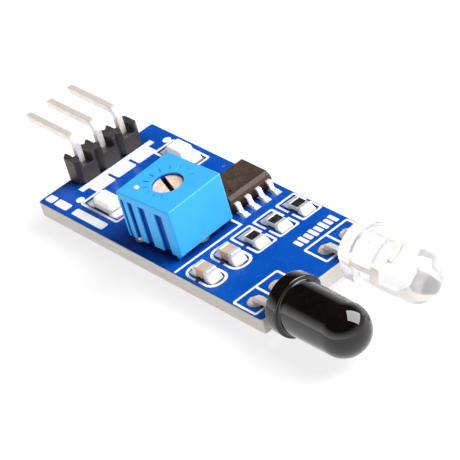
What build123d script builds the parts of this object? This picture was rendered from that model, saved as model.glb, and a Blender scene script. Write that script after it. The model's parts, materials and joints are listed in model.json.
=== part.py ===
from build123d import *
import os
from math import atan2, cos, degrees, radians, sin

# Infrared sensor module: a small circuit board with an infrared emitter and receiver at one end,
# a comparator and a trimming potentiometer in the middle, and a three-pin header at the other end.
#
# Every piece is modelled in the board's own frame, in millimetres: the origin is the centre of the
# board's top face, X runs across the board, the two lamps look along -Y, the header is at +Y and +Z
# is up. save() moves each piece into the part's frame, whose origin is the bottom centre of the box.

# ---- board -------------------------------------------------------------------------------------
BOARD_X = 14.0            # width of the board
BOARD_Y = 32.0            # length of the board
BOARD_Z = 1.6             # thickness with both solder masks
BOARD_CORNER = 0.25       # routed corner radius
MASK = 0.06               # solder mask, measured from the bare laminate
COPPER = 0.035            # copper foil
SILK = 0.02               # printed ink
PLATING = 0.04            # copper wall of a plated hole
TAIL = 1.0                # how far the soldered leads reach below the board
TRACK = 0.3               # width of a copper track
SILK_LINE = 0.24          # width of a printed line
SOLDER_GAP = 0.03         # solder left between a pad and the part on it
PAD_TOP = COPPER - MASK   # height of a pad's surface, just below the mask
SEAT = PAD_TOP + SOLDER_GAP
UNDERSIDE = -BOARD_Z

# ---- header ------------------------------------------------------------------------------------
PITCH = 2.54
PIN = 0.64
HEADER_X = 0.68
HEADER_Y = 15.2           # line of the pins
HOUSING_DEPTH = 2.3
HOUSING_HEIGHT = 2.54
HOUSING_CHAMFER = 0.4
CHANNEL_WIDTH = 1.3       # channel across the top of each position, where the pin comes out
CHANNEL_DEPTH = 0.8
PIN_RISE = 4.25           # height of the level part of a pin above the board
PIN_END_Y = 22.35
PIN_BEND = 0.75
PIN_TIP = 0.16

# ---- trimming potentiometer ----------------------------------------------------------------------
TRIM_X = -2.34
TRIM_Y = 0.28
TRIM_TURN = 3.4           # degrees, the can sits a little askew on its leads
CAN_X = 6.6
CAN_Y = 7.0
CAN_TOP = 5.3
CAN_FEET = 0.4
CAN_ROOF = 1.0
ROOM_R = 2.4              # inside radius of the rotor's room
POCKET_X = 5.7            # pocket in the underside for the element and the potting
POCKET_Y = 6.1
POCKET_TOP = 2.0
ELEMENT_Z = 0.7
FLUTES = ((-1.85, 1.0), (0.4, 0.85), (1.95, 0.65), (3.0, 0.35))  # middle along Y, and width
FLUTE_DEPTH = 0.3
FLUTE_HEAD = 0.75         # solid height left above a flute
CAN_CHAMFER = 0.07
CAN_CORNER = 0.2
STOP_FEET = ((-2.8, -3.0, 0.8), (2.8, -3.0, 0.8), (0, 3.2, 1.4))  # x, y and width along X
ROTOR_R = 1.45
ROTOR_RECESS = 0.3
FLANGE_R = 1.75
FLANGE_Z = 2.95
FLANGE_HEIGHT = 0.82
LUG_R = 2.15
LUG_ANGLE = 30.0          # width of the rotor's stop lug
STOP_ANGLE = 90.0         # width of the stop in the can, which leaves 240 degrees of travel
SLOT_WIDTH = 0.46
SLOT_DEPTH = 0.7
SLOT_REST = 68.6          # where the slot and the lug point at rest, from the can's own X
STOP_MIDDLE = 270.0       # where the stop is: opposite the middle of the travel
RUNNING = 0.05            # radial clearance between rotor and can
TERMINAL_R = 0.25
DIAL_TICKS = 11
DIAL_SWEEP = 240.0
DIAL_IN = 1.85
DIAL_OUT = 2.45
DIAL_DEPTH = 0.07
DIAL_WIDTH = 0.15
PIP_R = 0.32              # moulded bead on top, over the first terminal's corner

# ---- comparator ------------------------------------------------------------------------------------
CHIP_X = 4.2
CHIP_Y = -0.27
CHIP_LONG = 4.9
CHIP_WIDE = 3.9
CHIP_TOP = 1.62
CHIP_BOTTOM = 0.14
LEAD_PITCH = 1.27
LEAD_WIDTH = 0.5
LEAD_THICK = 0.2
LEAD_SPAN = 6.0
LEAD_SHOULDER = 0.86

# ---- chip capacitors, chip resistors and indicator lamps ---------------------------------------------
ROW_Y = -6.8
CAPACITOR_XS = (-5.45, -2.55)
RESISTOR_XS = (0.25, 2.95, 5.72)
SERIES_XS = (-1.3, 2.6)
SERIES_Y = 5.9
CHIP_BODY = (2.0, 1.25)   # length and width of a chip part
CAPACITOR_Z = 0.95
RESISTOR_Z = 0.5
END_CAP = 0.45
LAMP_XS = (-3.8, 5.15)
LAMP_Y = 9.3
LAMP_BODY = (3.2, 1.6)
LAMP_BASE_Z = 0.5
LAMP_LENS_Z = 0.6
LAMP_LENS_LONG = 2.2

# ---- infrared emitter and receiver -------------------------------------------------------------------
EYE_XS = {"receiver": -4.2, "emitter": 4.2}
EYE_Z = 0.45              # height of the lens axis above the board
EYE_BACK = -16.85         # back face of the flange
EYE_LENGTH = 9.3
EYE_R = 2.5
EYE_FLANGE_R = 2.9
EYE_FLANGE = 1.4
EYE_LEAD = 0.5
EYE_HOLE_Y = -13.6
EYE_BEND = 0.65
EYE_INSIDE = 3.6          # how far the leads reach into the lens

FLANGE_TOP = FLANGE_Z + FLANGE_HEIGHT
FRAME_Y = -(EYE_BACK - EYE_LENGTH + PIN_END_Y) / 2
FRAME_Z = BOARD_Z + TAIL

HEADER_XS = [HEADER_X + PITCH * i for i in (-1, 0, 1)]
LAMP_NAMES = ("power_lamp", "signal_lamp")


def save(name, *pieces):
    """Write one node: the solids of its pieces, moved from the board's frame to the part's."""
    shape = Compound([solid for piece in pieces for solid in piece.solids()])
    export_step(Pos(0, FRAME_Y, FRAME_Z) * shape, f"parts/{name}.step")


def slab(z0, z1, sketch):
    """A flat sketch made solid between two heights."""
    return extrude(Pos(0, 0, z0) * sketch, z1 - z0)


def trim_place(x, y):
    """A point given in the can's own axes, as a location on the board."""
    return Pos(TRIM_X, TRIM_Y, 0) * Rot(0, 0, TRIM_TURN) * Pos(x, y, 0)


def trim_point(x, y):
    """The same point as plain board coordinates."""
    place = trim_place(x, y).position
    return place.X, place.Y


TERMINALS = [trim_point(0, -PITCH), trim_point(-PITCH, PITCH), trim_point(PITCH, PITCH)]
EYE_HOLES = [(x + side * PITCH / 2, EYE_HOLE_Y) for x in EYE_XS.values() for side in (-1, 1)]
HEADER_HOLES = [(x, HEADER_Y) for x in HEADER_XS]
VIAS = [(1.65, 4.4), (6.15, 4.3)]
HEADER_HOLE_R, TERMINAL_HOLE_R, EYE_HOLE_R, VIA_R = 0.5, 0.38, 0.45, 0.15
LEAD_HOLES = ([(p, HEADER_HOLE_R) for p in HEADER_HOLES] + [(p, TERMINAL_HOLE_R) for p in TERMINALS]
              + [(p, EYE_HOLE_R) for p in EYE_HOLES])
VIA_HOLES = [(p, VIA_R) for p in VIAS]
HOLES = LEAD_HOLES + VIA_HOLES
RING = 0.34               # width of the copper ring round a hole
MASK_GAP = 0.06           # how much larger than its pad an opening in the mask is

COMPARATOR_XS = [CHIP_X + LEAD_PITCH * (i - 1.5) for i in range(4)]


def surface_pads():
    """Centre, length along X and length along Y of every pad for a surface-mounted part."""
    pads = []
    for x in CAPACITOR_XS + RESISTOR_XS:
        pads += [(x, ROW_Y + s * 1.05, 1.3, 1.15) for s in (-1, 1)]
    for x in SERIES_XS:
        pads += [(x + s * 1.05, SERIES_Y, 1.15, 1.3) for s in (-1, 1)]
    for x in LAMP_XS:
        pads += [(x, LAMP_Y + s * 1.65, 1.6, 1.2) for s in (-1, 1)]
    for x in COMPARATOR_XS:
        pads += [(x, CHIP_Y + s * (LEAD_SPAN / 2 - 0.3), 0.6, 1.35) for s in (-1, 1)]
    return pads


def pad_sketch(grow=0.0):
    """All the surface pads as one flat sketch, each edge moved out by grow."""
    return Sketch() + [Pos(x, y) * Rectangle(dx + 2 * grow, dy + 2 * grow)
                       for x, y, dx, dy in surface_pads()]


def discs(holes, grow=0.0):
    """A disc on each hole, its radius larger than the hole's by grow."""
    return Sketch() + [Pos(*p) * Circle(r + grow) for p, r in holes]


def mask_openings():
    """Where the mask leaves a round pad bare. It covers the vias' rings up to their holes."""
    return discs(LEAD_HOLES, RING + MASK_GAP) + discs(VIA_HOLES)


def board_outline(inset=0.0):
    """The board's rounded outline, drawn in by inset."""
    return RectangleRounded(BOARD_X - 2 * inset, BOARD_Y - 2 * inset, BOARD_CORNER)


def track_sketch():
    """Copper tracks of the top face, each a run of straight stretches between two pads."""
    front, back = CHIP_Y - LEAD_SPAN / 2 + 0.3, CHIP_Y + LEAD_SPAN / 2 - 0.3
    wiper, near, far = TERMINALS
    lines = [
        [HEADER_HOLES[2], (3.22, 12.9), (6.15, 12.3), VIAS[1], (COMPARATOR_XS[3], back)],
        [HEADER_HOLES[0], (-1.86, 12.0), (-3.8, 10.95)],
        [(-3.8, 7.65), (-3.8, 6.9), (-2.35, 5.9)],
        [(-0.25, 5.9), (-0.25, 8.5), (1.5, 10.6), (3.22, 12.9)],
        [(5.15, 10.95), (5.15, 12.55)],
        [(5.15, 7.65), (5.15, 7.2), (3.65, 5.9)],
        [(1.55, 5.9), VIAS[0], (COMPARATOR_XS[0], back)],
        [wiper, (-0.9, -4.75), (COMPARATOR_XS[1], -4.75), (COMPARATOR_XS[1], front)],
        [(COMPARATOR_XS[2], front), (COMPARATOR_XS[2], -4.75), (5.72, -5.75)],
        [(5.72, -7.85), (5.72, -12.4), EYE_HOLES[3]],
        [(2.95, -7.85), EYE_HOLES[2]],
        [(-5.45, -7.85), EYE_HOLES[0]],
        [(-2.55, -7.85), (-2.55, -12.6), EYE_HOLES[1]],
        [(0.25, -7.85), (0.25, -9.4), (-2.55, -10.2)],
        [near, (-6.2, 2.2), (-6.2, -4.6), (-5.45, -5.75)],
        [far, VIAS[0]],
    ]
    return Sketch() + [ribbon(points, TRACK) for points in lines]


def ribbon(points, width):
    """A flat strip of one width along a run of straight lines, with round joints."""
    strip = Sketch()
    for (x0, y0), (x1, y1) in zip(points, points[1:]):
        length = ((x1 - x0) ** 2 + (y1 - y0) ** 2) ** 0.5
        turn = degrees(atan2(y1 - y0, x1 - x0))
        middle = Pos((x0 + x1) / 2, (y0 + y1) / 2) * Rot(0, 0, turn)
        strip += middle * SlotOverall(length + width, width)
    return strip


def make_board():
    """Laminate, plated holes, copper and solder mask on both faces."""
    core_top, core_bottom = -MASK, UNDERSIDE + MASK
    drilled = discs(HOLES, PLATING)
    save("circuit_board", slab(core_bottom, core_top, board_outline() - drilled))
    save("hole_plating", slab(core_bottom, core_top, drilled - discs(HOLES)))

    rings = discs(HOLES, RING)
    top = slab(core_top, PAD_TOP, pad_sketch() + rings + track_sketch() - discs(HOLES))
    save("top_copper", top)
    openings = pad_sketch(MASK_GAP) + mask_openings()
    save("top_solder_mask", slab(core_top, 0, board_outline(0.05) - openings) - top)

    signals = [p for p, r in HOLES if p not in (HEADER_HOLES[1], VIAS[0])]
    pour = board_outline(0.5) - (Sketch() + [Pos(*p) * Circle(1.15) for p in signals])
    bottom = slab(core_bottom - COPPER, core_bottom, pour + rings - discs(HOLES))
    save("bottom_copper", bottom)
    save("bottom_solder_mask",
         slab(UNDERSIDE, core_bottom, board_outline(0.05) - mask_openings()) - bottom)


def frame_sketch(x, y, dx, dy, corner=0.15):
    """A printed rectangle: an outline one line wide."""
    outer = RectangleRounded(dx + SILK_LINE, dy + SILK_LINE, corner + SILK_LINE / 2)
    return Pos(x, y) * (outer - RectangleRounded(dx - SILK_LINE, dy - SILK_LINE, corner))


def make_silkscreen():
    """White ink: part outlines, and blank blocks where a maker would print words."""
    ink = Sketch()
    for x in CAPACITOR_XS:
        pill = frame_sketch(x, ROW_Y - 0.05, 2.15, 4.1, 0.9)
        ink += pill - Pos(x, ROW_Y) * Rectangle(4, 0.5)
    for x in RESISTOR_XS:
        box = frame_sketch(x, ROW_Y + 0.1, 2.2, 3.75)
        ink += box - Pos(x, ROW_Y) * Rectangle(2.9, 0.5)
    for x in EYE_XS.values():
        ink += frame_sketch(x, -13.5, 5.1, 2.95) + Pos(x, -13.5) * Rectangle(SILK_LINE, 2.95)
    left, right, front, back = -BOARD_X / 2, 1.05, -4.05, 4.15
    ink += Pos((left + right) / 2, front) * Rectangle(right - left, SILK_LINE)
    ink += Pos(right, (front + back) / 2) * Rectangle(SILK_LINE, back - front + SILK_LINE)
    for x in LAMP_XS:
        side = -1 if x < HEADER_X else 1
        ink += frame_sketch(x, LAMP_Y, 2.3, 5.3)
        ink += Pos(x + side * 0.85, LAMP_Y + 3.2) * Circle(0.42)
    for x in HEADER_XS:
        ink += Pos(x, 12.75) * RectangleRounded(2.25, 1.6, 0.2)
    ink += Pos(HEADER_X, 13.65) * Rectangle(3 * PITCH + 1.2, 0.7)
    for y, dy in ((15.15, 1.1), (13.4, 1.9), (9.35, 4.6)):
        ink += Pos(-6.05, y) * RectangleRounded(0.9, dy, 0.2)
    for i in range(8):
        ink += Pos(2.0 + 0.6 * i, -10.8) * RectangleRounded(0.42, 1.1 + 0.2 * (i % 2), 0.1)
    clear = discs(HOLES, RING + 0.1) + pad_sketch(0.1)
    ink = (ink & board_outline(0.12)) - clear
    save("silkscreen", slab(0, SILK, ink))


def make_header():
    """Housing of three octagonal blocks, and three bent square pins."""
    housing = Part()
    for x in HEADER_XS:
        plan = chamfer(Rectangle(PITCH, HOUSING_DEPTH).vertices(), HOUSING_CHAMFER)
        block = slab(SILK, HOUSING_HEIGHT, plan)
        block -= Pos(0, 0, HOUSING_HEIGHT) * Box(CHANNEL_WIDTH, PITCH + 1, 2 * CHANNEL_DEPTH)
        block -= Box(PIN, PIN, 3 * HOUSING_HEIGHT)
        housing += Pos(x, HEADER_Y, 0) * block
    save("header_housing", housing)
    for number, x in enumerate(HEADER_XS, 1):
        save(f"header_pin_{number}", Pos(x, 0, 0) * header_pin())


def header_pin():
    """Square wire: up through the board and housing, then bent level towards +Y."""
    path = FilletPolyline((0, HEADER_Y, -FRAME_Z), (0, HEADER_Y, PIN_RISE),
                          (0, PIN_END_Y, PIN_RISE), radius=PIN_BEND)
    wire = sweep(Plane(path @ 0, x_dir=(1, 0, 0), z_dir=path % 0) * Rectangle(PIN, PIN), path)
    ends = wire.faces().sort_by(Axis.Z)[0].edges() + wire.faces().sort_by(Axis.Y)[-1].edges()
    return chamfer(ends, PIN_TIP)


def solder_joint(point, hole_r, lead, rim=0.12, skirt=0.34, height=0.7):
    """Solder round a lead in a plated hole: a cone below, the filled hole and a low rim above."""
    foot, neck = hole_r + skirt, lead / 2 + 0.12
    low, high = UNDERSIDE + MASK - COPPER, PAD_TOP
    crown = [(0, high + rim), (neck, high + rim), (hole_r + 0.1, high)] if rim else [(0, high)]
    hollow = (neck + 0.3 * (foot - neck), low - 0.35 * height)
    outline = (Polyline((neck, low - height), (0, low - height), *crown, (hole_r, high),
                        (hole_r, low), (foot, low))
               + ThreePointArc((foot, low), hollow, (neck, low - height)))
    return Pos(*point) * revolve(Plane.XZ * make_face(outline), Axis.Z)


def make_header_solder():
    """Three joints round the square pins."""
    pin = Box(PIN, PIN, 4 * BOARD_Z)
    save("header_solder", *[solder_joint(p, HEADER_HOLE_R, PIN * 1.2, rim=0) - Pos(*p) * pin
                            for p in HEADER_HOLES])


def wedge(z0, z1, radius, angle, middle):
    """A sector of a disc between two heights, angle degrees wide round the direction middle."""
    sector = make_face(Line((0, 0), (radius, 0)) + CenterArc((0, 0), radius, 0, angle)
                       + Line((radius * cos(radians(angle)), radius * sin(radians(angle))), (0, 0)))
    return slab(z0, z1, Rot(0, 0, middle - angle / 2) * sector)


def drum(z0, z1, radius, bore=0.0):
    """A round slab, with a hole through it where bore is given."""
    ring = Circle(radius) - Circle(bore) if bore else Circle(radius)
    return slab(z0, z1, ring)


def make_trimmer():
    """Trimming potentiometer: can, rotor with its wiper, seal, element, terminals and potting."""
    place = trim_place(0, 0)
    pins = [Pos(x, y, 0) * drum(-FRAME_Z, POCKET_TOP - ELEMENT_Z, TERMINAL_R)
            for x, y in ((0, -PITCH), (-PITCH, PITCH), (PITCH, PITCH))]
    save("trimmer_can", place * trimmer_can())
    save("trimmer_rotor", place * trimmer_rotor())
    save("trimmer_wiper", place * trimmer_wiper())
    seal = Pos(0, 0, CAN_TOP - CAN_ROOF - 0.25) * Torus(ROTOR_R + 0.3, 0.24)
    save("trimmer_seal", place * seal)
    plate = slab(POCKET_TOP - ELEMENT_Z, POCKET_TOP, Rectangle(POCKET_X, POCKET_Y))
    save("trimmer_element", place * plate)
    track = drum(POCKET_TOP, POCKET_TOP + 0.03, 2.15, 1.65) - wedge(1, 4, 4, 60, 270)
    save("trimmer_resistive_track", place * track)
    collector = drum(POCKET_TOP, POCKET_TOP + 0.03, 0.7)
    save("trimmer_collector", place * collector)
    save("trimmer_terminals", *[place * pin for pin in pins])
    potting = slab(CAN_FEET + 0.05, POCKET_TOP - ELEMENT_Z, Rectangle(POCKET_X, POCKET_Y))
    for pin in pins:
        potting -= pin
    save("trimmer_potting", place * potting)
    tall = drum(-9, 9, TERMINAL_R)
    save("trimmer_solder", *[solder_joint(p, TERMINAL_HOLE_R, 2 * TERMINAL_R) - Pos(*p) * tall
                             for p in TERMINALS])


def trimmer_can():
    """Moulded can: feet, fluted sides, dial marks on top, a room for the rotor and a pocket."""
    shell = fillet(Rectangle(CAN_X, CAN_Y).vertices(), CAN_CORNER)
    can = slab(CAN_FEET, CAN_TOP, shell)
    can = chamfer(can.faces().sort_by(Axis.Z)[-1].edges(), CAN_CHAMFER)
    for x, y, width in STOP_FEET:
        can += slab(SILK, CAN_FEET, Pos(x, y) * Rectangle(width, 0.5))
    for side in (-1, 1):
        for y, width in FLUTES:
            flute = Pos(side * CAN_X / 2, y) * Rectangle(2 * FLUTE_DEPTH, width)
            can -= slab(0, CAN_TOP - FLUTE_HEAD, flute)
    can -= drum(POCKET_TOP, CAN_TOP - CAN_ROOF, ROOM_R)
    can -= slab(0, POCKET_TOP, Rectangle(POCKET_X, POCKET_Y))
    can -= drum(POCKET_TOP, CAN_TOP + 1, ROTOR_R + RUNNING)
    stop = wedge(FLANGE_Z - 0.05, FLANGE_TOP + 0.03, ROOM_R + 0.1, STOP_ANGLE, STOP_MIDDLE)
    can += stop - drum(0, CAN_TOP, FLANGE_R + 0.1)
    ticks = Sketch()
    tick = Pos((DIAL_IN + DIAL_OUT) / 2, 0) * Rectangle(DIAL_OUT - DIAL_IN, DIAL_WIDTH)
    for i in range(DIAL_TICKS):
        ticks += Rot(0, 0, 90 + DIAL_SWEEP * (0.5 - i / (DIAL_TICKS - 1))) * tick
    can -= slab(CAN_TOP - DIAL_DEPTH, CAN_TOP + 1, ticks)
    pip = Pos(-1.95, 2.1, CAN_TOP - 0.2) * Sphere(PIP_R)
    return can + (pip - slab(0, CAN_TOP - 0.1, Rectangle(9, 9)))


def trimmer_rotor():
    """Turning piece: slotted head, flange that keeps it in the can, and the stop lug."""
    head = CAN_TOP - ROTOR_RECESS
    rotor = drum(FLANGE_TOP - 0.1, head, ROTOR_R) + drum(FLANGE_Z, FLANGE_TOP, FLANGE_R)
    rotor += wedge(FLANGE_Z, FLANGE_TOP, LUG_R, LUG_ANGLE, SLOT_REST)
    slot = Rot(0, 0, SLOT_REST) * Rectangle(3 * ROTOR_R, SLOT_WIDTH)
    return rotor - slab(head - SLOT_DEPTH, head + 1, slot)


def trimmer_wiper():
    """Spring contact under the rotor: a disc, an arm to the collector and an arm to the track."""
    thick, low = 0.12, POCKET_TOP + 0.24
    spring = drum(FLANGE_Z - thick, FLANGE_Z, 1.5)
    for start, end in ((0.9, 1.9), (-1.3, -0.3)):
        arm = Polyline((start, FLANGE_Z - thick), (end - 0.15, low - 0.06), (end + 0.15, low - 0.06),
                       (end + 0.15, low + 0.06), (end - 0.1, low + 0.06), (start + 0.2, FLANGE_Z - thick),
                       close=True)
        spring += extrude(Plane.XZ * make_face(arm), 0.25, both=True)
        spring += Pos(end, 0, low - 0.04) * Sphere(0.15)
    return Rot(0, 0, SLOT_REST) * spring


def gull_lead():
    """One comparator lead along +Y: level in the body, down the shoulder, flat on its pad."""
    knee, low = CHIP_WIDE / 2 + 0.28, SEAT + LEAD_THICK / 2
    path = FilletPolyline((0, 1.0, LEAD_SHOULDER), (0, knee, LEAD_SHOULDER), (0, knee + 0.28, low),
                          (0, LEAD_SPAN / 2, low), radius=0.16)
    start = Plane(path @ 0, x_dir=(1, 0, 0), z_dir=path % 0)
    return sweep(start * Rectangle(LEAD_WIDTH, LEAD_THICK), path)


def comparator_leads():
    """Eight gull-wing leads, four to a side."""
    lead = gull_lead()
    leads = []
    for x in COMPARATOR_XS:
        for turn in (0, 180):
            leads.append(Pos(x, CHIP_Y, 0) * Rot(0, 0, turn) * lead)
    return leads


def make_comparator():
    """Comparator chip: moulded body round its leads, paddle, die and bond wires."""
    leads = comparator_leads()
    centre = Pos(CHIP_X, CHIP_Y, 0)
    paddle = centre * slab(LEAD_SHOULDER - 0.1, LEAD_SHOULDER + 0.1, Rectangle(3.3, 1.6))
    die = centre * slab(LEAD_SHOULDER + 0.1, LEAD_SHOULDER + 0.35, Rectangle(1.5, 1.1))
    wires = [centre * bond_wire((0.35 * (i - 1.5), 0.42 * side, LEAD_SHOULDER + 0.35),
                                (LEAD_PITCH * (i - 1.5), 1.15 * side, LEAD_SHOULDER + 0.1))
             for i in range(4) for side in (-1, 1)]
    lower = loft([Pos(0, 0, CHIP_BOTTOM) * Rectangle(CHIP_LONG - 0.25, CHIP_WIDE - 0.25),
                  Pos(0, 0, LEAD_SHOULDER) * Rectangle(CHIP_LONG, CHIP_WIDE)])
    upper = loft([Pos(0, 0, LEAD_SHOULDER) * Rectangle(CHIP_LONG, CHIP_WIDE),
                  Pos(0, 0, CHIP_TOP) * Rectangle(CHIP_LONG - 0.25, CHIP_WIDE - 0.25)])
    bevel = Pos(0, -CHIP_WIDE / 2, CHIP_TOP) * Rot(45, 0, 0) * Box(CHIP_LONG + 1, 0.55, 0.55)
    dimple = Pos(-CHIP_LONG / 2 + 0.75, -CHIP_WIDE / 2 + 0.95, CHIP_TOP) * Cylinder(0.28, 0.16)
    body = centre * (lower + upper - bevel - dimple)
    for inner in leads + [paddle, die] + wires:
        body -= inner
    save("comparator_body", body)
    save("comparator_leads", *leads)
    save("comparator_paddle", paddle)
    save("comparator_die", die)
    save("comparator_bond_wires", *wires)
    save("comparator_solder", *[Pos(x, CHIP_Y) * Rot(0, 0, turn) * Pos(0, LEAD_SPAN / 2)
                                * foot_solder(LEAD_WIDTH, 0.7, 0.24, LEAD_THICK)
                                for x in COMPARATOR_XS for turn in (0, 180)])


def bond_wire(start, end, rise=0.18, thick=0.05):
    """A fine wire in three straight stretches: up from start, across, and down to end."""
    (x0, y0, z0), (x1, y1, z1) = start, end
    top = max(z0, z1) + rise
    path = Polyline(start, (x0, y0, top), (0.3 * x0 + 0.7 * x1, 0.3 * y0 + 0.7 * y1, top), end)
    section = Plane(path @ 0, z_dir=path % 0) * Rectangle(thick, thick)
    return sweep(section, path, transition=Transition.RIGHT)


def foot_solder(width, under, reach, height):
    """Solder of a part's end that faces +Y at y=0: a film below it and a hollow fillet in front."""
    top = PAD_TOP + height
    side = (Polyline((0, top), (0, SEAT), (-under, SEAT), (-under, PAD_TOP), (reach, PAD_TOP))
            + ThreePointArc((reach, PAD_TOP), (0.32 * reach, PAD_TOP + 0.32 * height), (0, top)))
    return extrude(Plane.YZ * make_face(side), width / 2, both=True)


def chip_place(x, y, turn):
    """Where a chip part lies: its centre and the turn of its long axis away from Y."""
    return Pos(x, y, 0) * Rot(0, 0, turn)


def end_caps(length, width, height, thick=0.05):
    """The two metal ends of a chip part: five-sided sleeves over its ends."""
    caps = []
    for side in (-1, 1):
        outer = Pos(0, side * (length - END_CAP) / 2, SEAT + height / 2) * Box(width, END_CAP, height)
        inner = Box(width - 2 * thick, 2 * (length / 2 - thick), height - 2 * thick)
        caps.append(outer - Pos(0, 0, SEAT + height / 2) * inner)
    return caps


def end_solder(length, width, height):
    """Solder at both ends of a chip part."""
    return [Rot(0, 0, turn) * Pos(0, length / 2) * foot_solder(width, END_CAP - 0.05, 0.34, height)
            for turn in (0, 180)]


def capacitor_block():
    """Ceramic body of a chip capacitor: full size in the middle, sunk into its metal ends."""
    length, width = CHIP_BODY
    block = Pos(0, 0, SEAT + CAPACITOR_Z / 2) * Box(width - 0.02, length - 0.1, CAPACITOR_Z - 0.02)
    for cap in end_caps(length, width, CAPACITOR_Z):
        block -= cap
    return block


def make_capacitors():
    """Two ceramic chip capacitors."""
    length, width = CHIP_BODY
    places = [chip_place(x, ROW_Y, 0) for x in CAPACITOR_XS]
    for number, place in enumerate(places, 1):
        save(f"capacitor_{number}", place * capacitor_block())
    save("capacitor_ends", *[place * cap for place in places
                             for cap in end_caps(length, width, CAPACITOR_Z)])
    return [place * joint for place in places for joint in end_solder(length, width, 0.4)]


def make_resistors():
    """Five thick-film chip resistors: ceramic, film under a black glaze, and metal ends."""
    length, width = CHIP_BODY
    places = [chip_place(x, ROW_Y, 0) for x in RESISTOR_XS]
    places += [chip_place(x, SERIES_Y, 90) for x in SERIES_XS]
    glaze_long = length - 2 * END_CAP
    tile = Pos(0, 0, SEAT + RESISTOR_Z / 2) * Box(width - 0.02, length - 0.1, RESISTOR_Z - 0.02)
    for cap in end_caps(length, width, RESISTOR_Z):
        tile -= cap
    glaze = slab(SEAT + RESISTOR_Z - 0.01, SEAT + RESISTOR_Z + 0.04, Rectangle(width - 0.1, glaze_long))
    for number, place in enumerate(places, 1):
        save(f"resistor_{number}", place * tile)
    save("resistor_glaze", *[place * glaze for place in places])
    save("resistor_ends", *[place * cap for place in places
                            for cap in end_caps(length, width, RESISTOR_Z)])
    return [place * joint for place in places for joint in end_solder(length, width, 0.35)]


def make_lamp(name, place):
    """Indicator lamp: a board-like base, wrap-round ends, a die and a milky moulded lens."""
    length, width = LAMP_BODY
    base_top = SEAT + LAMP_BASE_Z
    ends = end_caps(length, width, LAMP_BASE_Z)
    base = Pos(0, 0, SEAT + LAMP_BASE_Z / 2) * Box(width - 0.02, length - 0.1, LAMP_BASE_Z - 0.02)
    for cap in ends:
        base -= cap
    die = slab(base_top - 0.01, base_top + 0.2, Rectangle(0.35, 0.35))
    lens = loft([Pos(0, 0, base_top - 0.01) * Rectangle(width, LAMP_LENS_LONG),
                 Pos(0, 0, base_top + LAMP_LENS_Z) * Rectangle(width - 0.15, LAMP_LENS_LONG - 0.35)])
    save(f"{name}_base", place * base)
    save(f"{name}_die", place * die)
    save(f"{name}_lens", place * (lens - die))
    return [place * cap for cap in ends]


def make_lamps():
    """Two indicator lamps, and the metal ends that both wear."""
    length, width = LAMP_BODY
    places = [chip_place(x, LAMP_Y, 0) for x in LAMP_XS]
    ends = []
    for name, place in zip(LAMP_NAMES, places):
        ends += make_lamp(name, place)
    save("lamp_ends", *ends)
    return [place * joint for place in places for joint in end_solder(length, width, 0.4)]


def eye_lens(flat_side):
    """Moulded epoxy: a domed cylinder with a flange at its back and a flat on the flange's rim.

    It is turned about its own axis, which runs along -Y from the back face of the flange.
    """
    shoulder = EYE_LENGTH - EYE_R
    outline = (Polyline((0, shoulder + EYE_R), (0, 0), (EYE_FLANGE_R, 0), (EYE_FLANGE_R, EYE_FLANGE),
                        (EYE_R, EYE_FLANGE), (EYE_R, shoulder))
               + RadiusArc((EYE_R, shoulder), (0, shoulder + EYE_R), -EYE_R))
    lens = revolve(Plane.XZ * make_face(outline), Axis.Z)
    flat = Pos(flat_side * (EYE_FLANGE_R + 0.65), 0, 0) * Box(2, 3 * EYE_R, 3)
    return lens - (flat & drum(-1, EYE_FLANGE, 2 * EYE_R))


def eye_lead(x, inside):
    """One lead of an infrared lamp: from inside the lens back over the board and down a hole."""
    path = FilletPolyline((x, EYE_BACK - inside, EYE_Z), (x, EYE_HOLE_Y, EYE_Z),
                          (x, EYE_HOLE_Y, -FRAME_Z), radius=EYE_BEND)
    return sweep(Plane(path @ 0, x_dir=(1, 0, 0), z_dir=path % 0) * Rectangle(EYE_LEAD, EYE_LEAD), path)


def make_eye(name, x):
    """Infrared lamp: lens, two leads, the cup, the die on it and the bond wire to the other lead."""
    left, right = x - PITCH / 2, x + PITCH / 2
    cup_y = EYE_BACK - EYE_INSIDE
    forward = Pos(x, EYE_BACK, EYE_Z) * Rot(90, 0, 0)
    anvil = Pos(left + 0.55, cup_y - 0.3, EYE_Z) * Box(1.6, 1.0, 1.2)
    anvil -= Pos(x, cup_y - 0.8, EYE_Z) * Rot(90, 0, 0) * Cone(0.25, 0.5, 0.5)
    cup_lead = eye_lead(left, EYE_INSIDE) + anvil
    post_lead = eye_lead(right, EYE_INSIDE) + Pos(right - 0.1, cup_y - 0.25, EYE_Z) * Box(0.7, 0.6, 0.7)
    die_y = cup_y - 0.55
    die = Pos(x, die_y, EYE_Z) * Box(0.3, 0.2, 0.3)
    wire = bond_wire_forward((x, die_y - 0.1, EYE_Z), (right - 0.1, cup_y - 0.55, EYE_Z))
    lens = forward * eye_lens(-1 if x > 0 else 1)
    for inner in (cup_lead, post_lead, die, wire):
        lens -= inner
    save(f"{name}_lens", lens)
    save(f"{name}_cup_lead", cup_lead)
    save(f"{name}_post_lead", post_lead)
    save(f"{name}_die", die)
    save(f"{name}_bond_wire", wire)


def bond_wire_forward(start, end, thick=0.05):
    """A fine wire that leaves start along -Y, crosses, and comes back to end."""
    (x0, y0, z), (x1, y1, _) = start, end
    front = min(y0, y1) - 0.5
    path = Polyline(start, (x0, front, z), (0.4 * x0 + 0.6 * x1, front, z), end)
    section = Plane(path @ 0, z_dir=path % 0) * Rectangle(thick, thick)
    return sweep(section, path, transition=Transition.RIGHT)


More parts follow.
